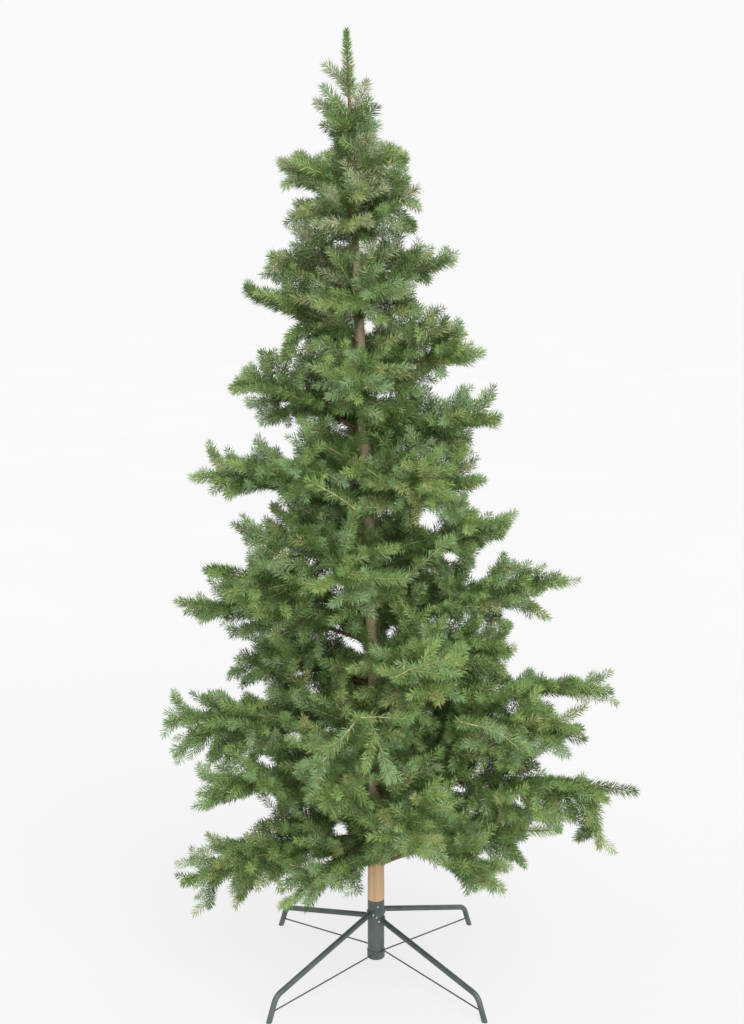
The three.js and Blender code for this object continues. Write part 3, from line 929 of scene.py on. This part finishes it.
def growShoots(index, item, points, spacing, inner):
    # side shoots to the left and right, shorter towards the tip
    number = masses[index]["number"]
    length = sum((b - a).length for a, b in zip(points, points[1:]))
    count = max(1, int(length * (1 - shoot["from"]) / spacing))
    for k in range(count):
        u = shoot["from"] + (shoot["upTo"] - shoot["from"]) * (k + 0.5) / count
        place = u * (len(points) - 1)
        i = min(int(place), len(points) - 2)
        base = points[i].lerp(points[i + 1], place - i)
        along = frameAlong((points[i + 1] - points[i]).normalized())
        reach = shoot["long"] + (shoot["short"] - shoot["long"]) * u
        reach *= 1 + shoot["vary"] * scatter(number, 33, item * 40 + k)
        reach = min(reach, (1 - u) * length + shoot["atTip"])
        best = None
        for attempt in range(2):
            seed = item * 40 + k + 7000 * attempt
            turn = (180 if k % 2 else 0) + shoot["roll"] * scatter(number, 31, seed)
            splay = shoot["splay"] + shoot["splayVary"] * scatter(number, 32, seed)
            direction = branchOff(along, splay, turn)
            for share in shoot["lengths"]:
                tip = base + direction * reach * share
                if reach * share > shoot["least"] and inReach(index, tip) and isClear(base, tip):
                    crowd = crowding(tip)
                    if crowd <= crown["fullShoot"] and (best is None or crowd < best[0]):
                        best = (crowd, tip)
                    break
        if best:
            tip = best[1]
            green = dealGreen(number, item * 40 + k, inner and u < twig["innerTo"])
            addPath((base, tip), shoot["radius"], green, count=twig["innerCount"] if inner else 1.0)
            takeSpot(base.lerp(tip, shoot["spotAt"]), tip)


def twigPath(index, root, along, turn, splay, length):
    # the longest twig that way that keeps to the mass, or nothing
    direction = branchOff(along, splay, turn)
    for share in twig["lengths"]:
        reach = length * share
        if reach < twig["least"]:
            return None
        bendTo = along[0] * twig["curl"] + Vector((0, 0, twig["curl"] * 0.5))
        points = [root]
        for s in range(1, twig["segments"] + 1):
            u = s / twig["segments"]
            points.append(root + direction * reach * u + bendTo * reach * u * u)
        if inReach(index, points[-1]) and inReach(index, points[-2]) and isClear(root, points[-1]):
            return points
    return None


def growTwig(index, item, t, splay, wanted, inner):
    # tries several ways out to one side and takes the one with the most room
    number, curve = masses[index]["number"], masses[index]["curve"]
    root, along = pointOn(curve, t), frameAlong(tangentOn(curve, t))
    tilt = float(np.interp(t, twig["tiltAt"], twig["tilt"]))
    best = None
    for attempt in range(twig["tries"]):
        seed = 20 * item + attempt
        turn = 180 * (item % 2) + tilt * scatter(number, 3, seed)
        thisSplay = splay + twig["splayVary"] * scatter(number, 4, seed)
        points = twigPath(index, root, along, turn, thisSplay, wanted)
        if points is None:
            continue
        crowd = crowding(points[-1]) + crowding(points[-2])
        if best is None or crowd < best[0]:
            best = (crowd, points)
    if best is None or best[0] > 2 * crown["fullTwig"]:
        return
    points = best[1]
    green = dealGreen(number, item + 500, inner)
    count = twig["innerCount"] if inner else 1.0
    addPath(points, twig["radius"], green, count=count, thinner=twig["thinner"])
    takeSpot(*points[1:])
    growShoots(index, item, points, shoot["spacing"], inner)


def growMass(index):
    m = masses[index]
    number, curve = m["number"], m["curve"]
    length = curveLength(curve)
    endFrom, spacing = boughNeedles["endFrom"], shoot["spacing"] * boughNeedles["endShoots"]
    shares = np.linspace(endFrom, 1 - needle["past"] / length, boughNeedles["endSteps"] + 1)
    ends = [pointOn(curve, t) for t in shares]
    green = dealGreen(number, 900, False)
    addPath(ends, twig["radius"], green, boughNeedles["endSize"], boughNeedles["endCount"])
    takeSpot(*ends)
    innerFrom = boughNeedles["bareTo"] if number < boughNeedles["bareTier"] else boughNeedles["innerFrom"]
    inner = [pointOn(curve, t) for t in np.linspace(innerFrom, endFrom, boughNeedles["innerSteps"] + 1)]
    # painted shade: the needles along the bough near the trunk all take the darkest green
    addPath(inner, twig["radius"], "needlesDeep", boughNeedles["inner"], boughNeedles["inner"], isTip=False)
    growShoots(index, 70, ends, spacing, False)
    reach = twig["upTo"] - twig["from"]
    count = int(length * reach / twig["spacing"])
    for i in range(count):
        t = twig["from"] + reach * (i + 0.5) / count
        wanted = twig["share"] * length * (1 - twig["fade"] * t)
        wanted *= 1 + twig["lengthVary"] * scatter(number, 2, i)
        square, line, rest = twig["longest"]
        longest = square * length * (1 - t) ** 2 + line * (1 - t) + rest
        wanted = min(max(wanted, twig["usual"]), twig["most"], longest)
        splayFrom, splayTo = twig["splay"]
        splay = splayFrom + (splayTo - splayFrom) * min(1, t * twig["splayRate"])
        growTwig(index, i, t, splay, wanted, t < twig["innerTo"])


# Long shoots that stand out of the crown's edge: the bough's number, the share along it, the tip's x and
# height from the trunk's foot as seen from the front, and how far behind its bough it ends, if it does
fingers = [
    (11, 0.6, -395, 335), (11, 0.75, -435, 275, 25), (11, 0.75, -390, 145, -10), (11, 0.5, -320, 165, 15),
    (12, 0.65, -225, 150), (12, 0.55, -170, 140, 10), (13, 0.65, 280, 195), (13, 0.55, 230, 220, 10),
    (14, 0.65, 350, 325), (14, 0.6, 350, 250, -15), (14, 0.45, 305, 240, 15), (21, 0.75, 515, 290),
    (21, 0.85, 515, 455, 15), (21, 0.75, 475, 475, -15), (21, 0.6, 425, 330, 10), (22, 0.75, -410, 480),
    (22, 0.65, -395, 395, 20), (22, 0.5, -355, 410, -20), (31, 0.6, -465, 515, -30),
    (31, 0.8, -465, 665, 10), (31, 0.65, -400, 665, -15), (31, 0.55, -360, 675, 20),
    (31, 0.4, -295, 665, -20), (32, 0.8, 475, 585, 15), (32, 0.75, 445, 515), (32, 0.7, 480, 640, -20),
    (34, 0.8, 515, 710, 10), (34, 0.6, 380, 715, -15), (41, 0.7, -310, 765), (41, 0.7, -335, 710, 20),
    (41, 0.6, -305, 690, -15), (42, 0.75, 305, 835, 10), (42, 0.75, 305, 765), (43, 0.5, 290, 995),
    (43, 0.65, 345, 975, 10), (43, 0.8, 370, 955, -10), (43, 0.6, 385, 840), (51, 0.8, -455, 880),
    (52, 0.8, -380, 955), (53, 0.7, 305, 1060, 10), (53, 0.7, 290, 1030, -10), (53, 0.5, 245, 1005),
    (53, 0.4, 225, 965, 10), (61, 0.7, -315, 1050), (62, 0.7, -370, 1225), (62, 0.75, -370, 1120, 10),
    (62, 0.6, -340, 1115, -10), (71, 0.7, 260, 1345), (71, 0.6, 275, 1285, 15), (74, 0.6, -255, 1440),
    (74, 0.7, -290, 1400, 15), (74, 0.7, -325, 1355, -10), (81, 0.6, 190, 1490), (81, 0.5, 155, 1515, 15),
    (84, 0.7, -290, 1565, 10), (91, 0.45, 125, 1580), (94, 0.6, -235, 1640), (94, 0.5, -240, 1595, 15),
    (101, 0.5, -205, 1835), (101, 0.45, -180, 1790, -15), (101, 0.1, -180, 1740, 15),
    (101, 0.1, -190, 1715, -20), (102, 0.6, 95, 1745, 10), (102, 0.45, 85, 1690, -10),
    (105, 0.55, 75, 1835, 10), (105, 0.6, 50, 1865, -10),
    # closer to the trunk, between the tiers
    (84, 0.25, -150, 1440), (84, 0.4, -205, 1425, 15), (74, 0.4, -175, 1300), (74, 0.6, -230, 1290, -15),
    (11, 0.35, -215, 230, -20), (21, 0.65, 465, 375), (21, 0.7, 500, 335, 15), (31, 0.45, -380, 505, 10),
    (31, 0.6, -420, 550, -10), (31, 0.3, -240, 560, -10), (81, 0.15, 100, 1330), (71, 0.1, 85, 1260, -10),
    (91, 0.2, 70, 1515), (102, 0.1, 0, 1660, -10), (102, 0.3, 25, 1815), (42, 0.45, 225, 850),
    (62, 0.5, -275, 1210), (62, 0.6, -330, 1210, 10), (62, 0.2, -185, 1090, -15), (71, 0.5, 210, 1335),
    (43, 0.1, 130, 930), (103, 0.1, -50, 1620), (92, 0.1, -40, 1600), (82, 0.15, -30, 1440),
    (82, 0.1, -35, 1370), (82, 0.15, -25, 1290), (72, 0.1, -40, 1265), (65, 0.1, -15, 1190),
    (65, 0.15, -10, 1060), (55, 0.1, -10, 1020), (55, 0.15, 0, 890), (44, 0.1, 5, 840), (33, 0.15, 0, 510),
    (33, 0.1, 5, 690), (74, 0.3, -180, 1325), (74, 0.2, -140, 1350, 10), (82, 0.2, -105, 1300),
    (92, 0.1, 45, 1480), (91, 0.1, 75, 1520, 10), (91, 0.1, 40, 1455, -10), (11, 0.3, -195, 260),
    (11, 0.4, -230, 245, 10), (21, 0.6, 460, 390, -10), (71, 0.15, 100, 1330), (71, 0.1, 80, 1245, 10),
    (84, 0.15, -145, 1465), (84, 0.2, -165, 1395, -10), (31, 0.5, -335, 515), (101, 0.05, -80, 1870),
    (103, 0.1, -10, 1690), (12, 0.2, -150, 285), (51, 0.5, -400, 845), (82, 0.1, -70, 1475),
    (102, 0.1, 30, 1815), (71, 0.35, 205, 1325, 10), (43, 0.2, 190, 850), (31, 0.5, -365, 520, 15),
    (31, 0.6, -435, 560), (71, 0.1, 105, 1350, -15), (81, 0.1, 90, 1350, 15), (12, 0.45, -215, 215),
    (11, 0.3, -235, 225, -10), (74, 0.25, -190, 1300, 10), (84, 0.35, -210, 1410, -15),
    (84, 0.1, -150, 1370), (21, 0.55, 455, 370, -25), (11, 0.55, -335, 205), (52, 0.1, -130, 975),
    (62, 0.1, -150, 1005, 10), (91, 0.1, 85, 1535, -10), (51, 0.45, -345, 840, -10), (42, 0.3, 215, 815, 10),
    (21, 0.7, 490, 320, 10), (92, 0.05, -85, 1460), (82, 0.2, -30, 1260, -10), (82, 0.15, -20, 1275, 10),
    (74, 0.45, -215, 1390, -20), (74, 0.15, -130, 1290, -20), (84, 0.15, -125, 1390, 10),
    (74, 0.5, -235, 1325), (84, 0.1, -110, 1480), (81, 0.1, 95, 1370), (42, 0.4, 240, 840, -10),
    (53, 0.2, 190, 880), (71, 0.4, 225, 1320, -10), (11, 0.35, -225, 240, 15), (12, 0.5, -195, 230, -10),
    (11, 0.4, -245, 225), (31, 0.6, -380, 515), (22, 0.7, -370, 500, 10), (31, 0.5, -345, 500, -15),
    (51, 0.7, -410, 850), (11, 0.6, -330, 195), (12, 0.15, -110, 235), (71, 0.4, 200, 1210),
    (21, 0.75, 505, 320, -10), (42, 0.6, 285, 745), (101, 0.02, -85, 1880), (72, 0.3, -10, 1265),
    (65, 0.25, -30, 1080), (55, 0.2, -15, 1000),
]
finger = {
    "beyond": 0.15,  # its depth is that of the bough, this share further along it
    "bend": 0.4, "steps": 3,  # of pale stems and leader shoots too
    "size": 1.2, "shorter": 0.08, "count": 1.8, "thinner": 0.2,
}


def onSight(x, z, y):
    # the point at depth y that covers (x, z) on the upright plane through the trunk
    share = (y - eye.y) / (trunkY - eye.y)
    return Vector((eye.x + (trunkX + x * mm - eye.x) * share, y, eye.z + (z * mm - eye.z) * share))


def bentPath(root, way, tip):
    # four points that leave the root along way and bend to the tip
    control = root + way * (tip - root).length * finger["bend"]
    return [pointOn((root, control, tip), u / finger["steps"]) for u in range(finger["steps"] + 1)]


def massNumbered(number):
    return next(i for i, m in enumerate(masses) if m["number"] == number)


def growFinger(item, number, t, x, z, behind=0):
    index = massNumbered(number)
    curve = masses[index]["curve"]
    depth = pointOn(curve, min(1, t + finger["beyond"])).y + behind * mm
    root, target = pointOn(curve, t), onSight(x, z, depth)
    target -= (target - root).normalized() * needle["past"]
    points = bentPath(root, tangentOn(curve, t), target)
    green = dealGreen(number, 700 + item, False)
    addPath(
        points, twig["radius"], green, finger["size"], finger["count"],
        thinner=finger["thinner"], shorter=finger["shorter"],
    )
    takeSpot(*points[1:])
    growShoots(index, 80 + item, points, shoot["spacing"], False)


# Pale stems that lie bare at the crown's front: the bough's number, the share along it, three points as
# seen from the front, and how far the stem lies before the trunk
paleStems = [
    (33, 0.6, (-40, 610), (-75, 565), (-110, 520), 345), (33, 0.6, (-35, 610), (0, 615), (30, 610), 350),
    (33, 0.65, (-15, 605), (5, 560), (20, 510), 350), (32, 0.5, (190, 600), (260, 590), (325, 550), 250),
    (44, 0.7, (45, 705), (90, 740), (150, 740), 330), (55, 0.7, (60, 930), (100, 960), (130, 990), 280),
    (41, 0.45, (-230, 800), (-205, 830), (-180, 850), 160),
    (11, 0.4, (-275, 280), (-240, 290), (-205, 280), 110),
    (31, 0.45, (-300, 540), (-270, 550), (-235, 550), 110),
    (55, 0.6, (-45, 1085), (-80, 1120), (-110, 1130), 240),
]
paleStem = {
    "radius": 2.1 * mm, "thinner": 0.15, "size": 0.95, "count": 0.35, "fuller": 0.15,
    "past": 42 * mm,  # the spray past its end, and its needles, which the way in has too
    "endSize": 1.1, "endCount": 1.6, "shoots": 1.5,
}


def growPaleStem(item, number, t, first, second, third, before):
    # a thicker stem with few needles, and a full spray past its end
    index = massNumbered(number)
    root = pointOn(masses[index]["curve"], t)
    begin, middle, end = (onSight(x, z, trunkY - before * mm) for x, z in (first, second, third))
    bend = bentPath(begin, (middle - begin).normalized(), end)
    ends = (paleStem["endSize"], paleStem["endCount"])
    addPath((root, bend[0]), twig["radius"], "needlesMid", *ends, isTip=False)
    green = dealGreen(number, 760 + item, False)
    addPath(
        bend, paleStem["radius"], green, paleStem["size"], paleStem["count"],
        thinner=paleStem["thinner"], fuller=paleStem["fuller"],
    )
    past = bend[3] + (bend[3] - bend[2]).normalized() * paleStem["past"]
    addPath((bend[3], past), twig["radius"], green, *ends)
    takeSpot(*bend)
    growShoots(index, 140 + item, [*bend, past], shoot["spacing"] * paleStem["shoots"], False)


# the shoots about the leading wire: height they leave it at, then the tip's x, height and depth
leaderShoots = [
    (1960, -105, 2025, 0), (1955, -50, 1990, 0), (1880, -110, 1980, -10), (1875, -125, 1950, 10),
    (1870, -20, 1990, 10), (1860, 0, 1940, -15), (1870, -85, 1955, -50), (1860, -30, 1940, 50),
    (1850, -100, 1925, -60), (1850, -20, 1915, 60), (1850, -110, 1905, 35), (1850, 0, 1905, -40),
    (1835, -90, 1885, -25), (1835, -10, 1880, 20), (1850, -105, 1945, 10), (1860, -15, 1955, 5),
    (1820, -80, 1870, 0), (1815, -65, 1880, -20),
]
leaderShoot = {"thin": 0.8, "size": 1.2, "count": 1.8}
leaderSide = {
    "splay": 30.0, "splayVary": 8.0, "long": 34 * mm, "every": 26 * mm, "from": 0.15, "upTo": 0.9,
    "turn": 137.5, "size": 0.85, "count": 1.1,
}
# the spike: heights of its stretches, the size and number of their needles
spike = {
    "heights": (1850, 1900, 1930, 1975, 2010, 2045, 2074, 2096),
    "sizes": (0.9, 0.8, 0.5, 1.15, 1.0, 0.8, 0.6), "counts": (0.8, 0.6, 0.15, 2.4, 2.6, 3.0, 3.6),
}


def growLeader():
    # a narrow spike with steep shoots about it
    index, number = len(boughs), leader["number"]
    wire = [trunkAxis(z * mm) for z in spike["heights"]]
    for start, end, size, count in zip(wire, wire[1:], spike["sizes"], spike["counts"]):
        addPath((start, end), twig["radius"], "needlesMid", size, count, isTip=end is wire[-1])
    for k, (height, x, z, depth) in enumerate(leaderShoots):
        points = bentPath(trunkAxis(height * mm), Vector((0, 0, 1)), onSight(x, z, trunkY + depth * mm))
        radius, green = twig["radius"] * leaderShoot["thin"], dealGreen(number, 20 + k, False)
        addPath(points, radius, green, leaderShoot["size"], leaderShoot["count"])
        way = points[2] - points[0]
        along = frameAlong(way.normalized())
        count = int(way.length / leaderSide["every"])
        for c in range(count):
            share = leaderSide["from"] + (leaderSide["upTo"] - leaderSide["from"]) * (c + 0.5) / count
            splay = leaderSide["splay"] + leaderSide["splayVary"] * scatter(index, 7, 10 * k + c)
            side = branchOff(along, splay, leaderSide["turn"] * c + 40 * k)
            base = points[0] + way * share
            tip = base + side * leaderSide["long"]
            green = dealGreen(number, 40 + 10 * k + c, False)
            addPath((base, tip), shoot["radius"], green, leaderSide["size"], leaderSide["count"])


for item, place in enumerate(fingers):
    growFinger(item, *place)
for item, place in enumerate(paleStems):
    growPaleStem(item, *place)
for index in range(len(boughs)):
    growMass(index)
growLeader()
print("twigs grown:", len(runs), "stretches")


def makeTwigs():
    # three-sided tubes, one for each stretch
    starts = np.array([r[0] for r in runs])
    ends = np.array([r[1] for r in runs])
    radii = np.array([r[2] for r in runs])
    forward = ends - starts
    forward /= np.linalg.norm(forward, axis=1)[:, None]
    side, up = sideAndUp(forward)
    rings = []
    for centre, radius in ((starts, radii), (ends - forward * twig["stopShort"], radii * twig["taper"])):
        for angle in np.arange(3) * 2 * math.pi / 3:
            rings.append(centre + (side * math.cos(angle) + up * math.sin(angle)) * radius[:, None])
    points = np.stack(rings, axis=1).reshape(-1, 3)
    quads = [(0, 1, 4), (0, 4, 3), (1, 2, 5), (1, 5, 4), (2, 0, 3), (2, 3, 5), (0, 2, 1), (3, 4, 5)]
    faces = (np.arange(len(runs)) * 6)[:, None, None] + np.array(quads)[None]
    piece = meshFrom("twigStems", points, faces.reshape(-1, 3))
    smooth(piece, 80)
    finishPiece(piece, twigSkin, foliageNodes)


def sideAndUp(forward):
    reference = np.where(np.abs(forward[:, 2:3]) > 0.95, [[0.0, 1.0, 0.0]], [[0.0, 0.0, 1.0]])
    side = np.cross(forward, reference)
    side /= np.linalg.norm(side, axis=1)[:, None]
    return side, np.cross(side, forward)


def spread01(count, salt):
    # repeatable draws from 0 to 1
    wave = np.sin(np.arange(count) * drawSteps[0] + salt * drawSteps[1]) * drawSteps[3]
    return wave - np.floor(wave)


def makeNeedles(name, material, chosen, salt):
    # each needle is two triangles, folded along its middle
    starts, ends, tips, sizes, dense = (np.array([r[i] for r in chosen]) for i in (0, 1, 4, 5, 6))
    lengths = np.linalg.norm(ends - starts, axis=1)
    counts = np.maximum(needle["least"], (lengths * dense * needle["perMetre"]).astype(int))
    run = np.repeat(np.arange(len(chosen)), counts)
    order = np.concatenate([np.arange(c) for c in counts])
    draws = [spread01(len(run), salt + k) for k in range(5)]
    u = (order + draws[0]) / counts[run]
    forward = (ends - starts) / lengths[:, None]
    side, up = sideAndUp(forward)
    f = forward[run]
    turn = order * math.radians(needle["turn"]) + 0.5 * draws[1]
    tipFrom = needle["tipFrom"]
    nearTip = np.where(tips[run], np.clip((u - tipFrom) / (1 - tipFrom), 0, 1), 0)
    leave = np.radians(needle["leave"][0] + (needle["leave"][1] - needle["leave"][0]) * nearTip)
    leave += np.radians(needle["leaveVary"]) * (draws[2] - 0.5) * 2
    outward = side[run] * np.cos(turn)[:, None] + up[run] * np.sin(turn)[:, None]
    way = f * np.cos(leave)[:, None] + outward * np.sin(leave)[:, None]
    least, most = needle["lengths"]
    long = needle["long"] * sizes[run] * (least + (most - least) * draws[3])
    long *= 1 - needle["tipShorter"] * nearTip
    root = starts[run] + f * (u * lengths[run])[:, None]
    across = np.cross(way, outward)
    across /= np.maximum(np.linalg.norm(across, axis=1), 1e-9)[:, None]
    roll = math.pi * draws[4][:, None]
    across = across * np.cos(roll) + np.cross(across, way) * np.sin(roll)
    lift = np.cross(across, way) * (needle["wide"] * needle["fold"])
    waist = root + way * (long * needle["waist"])[:, None] - lift
    half = across * (needle["wide"] / 2)
    tip = root + way * long[:, None]
    points = np.stack([root, waist - half, tip, waist + half], axis=1).reshape(-1, 3)
    faces = (np.arange(len(run)) * 4)[:, None, None] + np.array([(0, 1, 2), (0, 2, 3)])[None]
    piece = meshFrom(name, points, faces.reshape(-1, 3))
    finishPiece(piece, material, foliageNodes)
    return 2 * len(run)


makeTwigs()
total = 0
for salt, green in enumerate(needleGreens):
    material = needleGreen(green)
    chosen = [r for r in runs if r[3] == green]
    length = sum((r[1] - r[0]).length * r[6] for r in chosen)
    parts = max(1, math.ceil(length * needle["perMetre"] * 2 / needle["mostFaces"]))
    for part in range(parts):
        total += makeNeedles(f"{green}_{part + 1}", material, chosen[part::parts], 10 * salt + part)
print("needles made:", total, "faces")


studio = {
    "floorSize": 600, "floorGreys": (0.135, 0.145), "floorPatches": 0.7, "floorGlow": 0.745, "sky": 0.95,
    "lampAim": (-0.38, 0.85, -0.8), "lampPlace": (2, -3, 4), "lampStrength": 2.5,
    "lampSpread": 60.0,
}


def makeFloor():
    # wide, pale and lit of itself
    deselectAll()
    bpy.ops.mesh.primitive_plane_add(size=studio["floorSize"], location=(0, 0, 0))
    floor = bpy.context.object
    floor.name = "studioFloor"
    material, tree, shader = newMaterial("paleFloor", 0.75)
    patches = mottle(tree, studio["floorPatches"], 2.0)
    dark, light = studio["floorGreys"]
    stops = [(0.3, (dark, dark, dark)), (0.7, (light, light, light))]
    tree.links.new(ramp(tree, patches, stops), shader.inputs["Base Color"])
    setInputs(shader, {"Emission Color": (1, 1, 1, 1), "Emission Strength": studio["floorGlow"]})
    setInputs(shader, {"Specular IOR Level": 0.0})
    floor.data.materials.append(material)


def makeLamp():
    # a broad soft lamp from the front right
    data = bpy.data.lights.new("softSun", "SUN")
    data.energy = studio["lampStrength"]
    data.angle = math.radians(studio["lampSpread"])
    lamp = bpy.data.objects.new("softSun", data)
    lamp.rotation_euler = Vector(studio["lampAim"]).to_track_quat("-Z", "Y").to_euler()
    lamp.location = studio["lampPlace"]
    bpy.context.scene.collection.objects.link(lamp)


def makeWorld():
    world = bpy.data.worlds.new("studio")
    world.use_nodes = True
    background = world.node_tree.nodes["Background"]
    setInputs(background, {"Color": (studio["sky"], studio["sky"], studio["sky"], 1), "Strength": 1.0})
    bpy.context.scene.world = world


def makeCamera():
    data = bpy.data.cameras.new("camera")
    data.lens = camera["lens"]
    data.sensor_width = camera["sensor"]
    data.clip_end = 1000
    view = bpy.data.objects.new("camera", data)
    view.location = eye
    view.rotation_euler = (math.radians(90 - camera["down"]), 0, math.radians(camera["turn"]))
    bpy.context.scene.collection.objects.link(view)
    bpy.context.scene.camera = view


makeFloor()
makeWorld()
makeLamp()
makeCamera()
bpy.context.scene.view_settings.view_transform = "Standard"
print("floor, light and camera made")
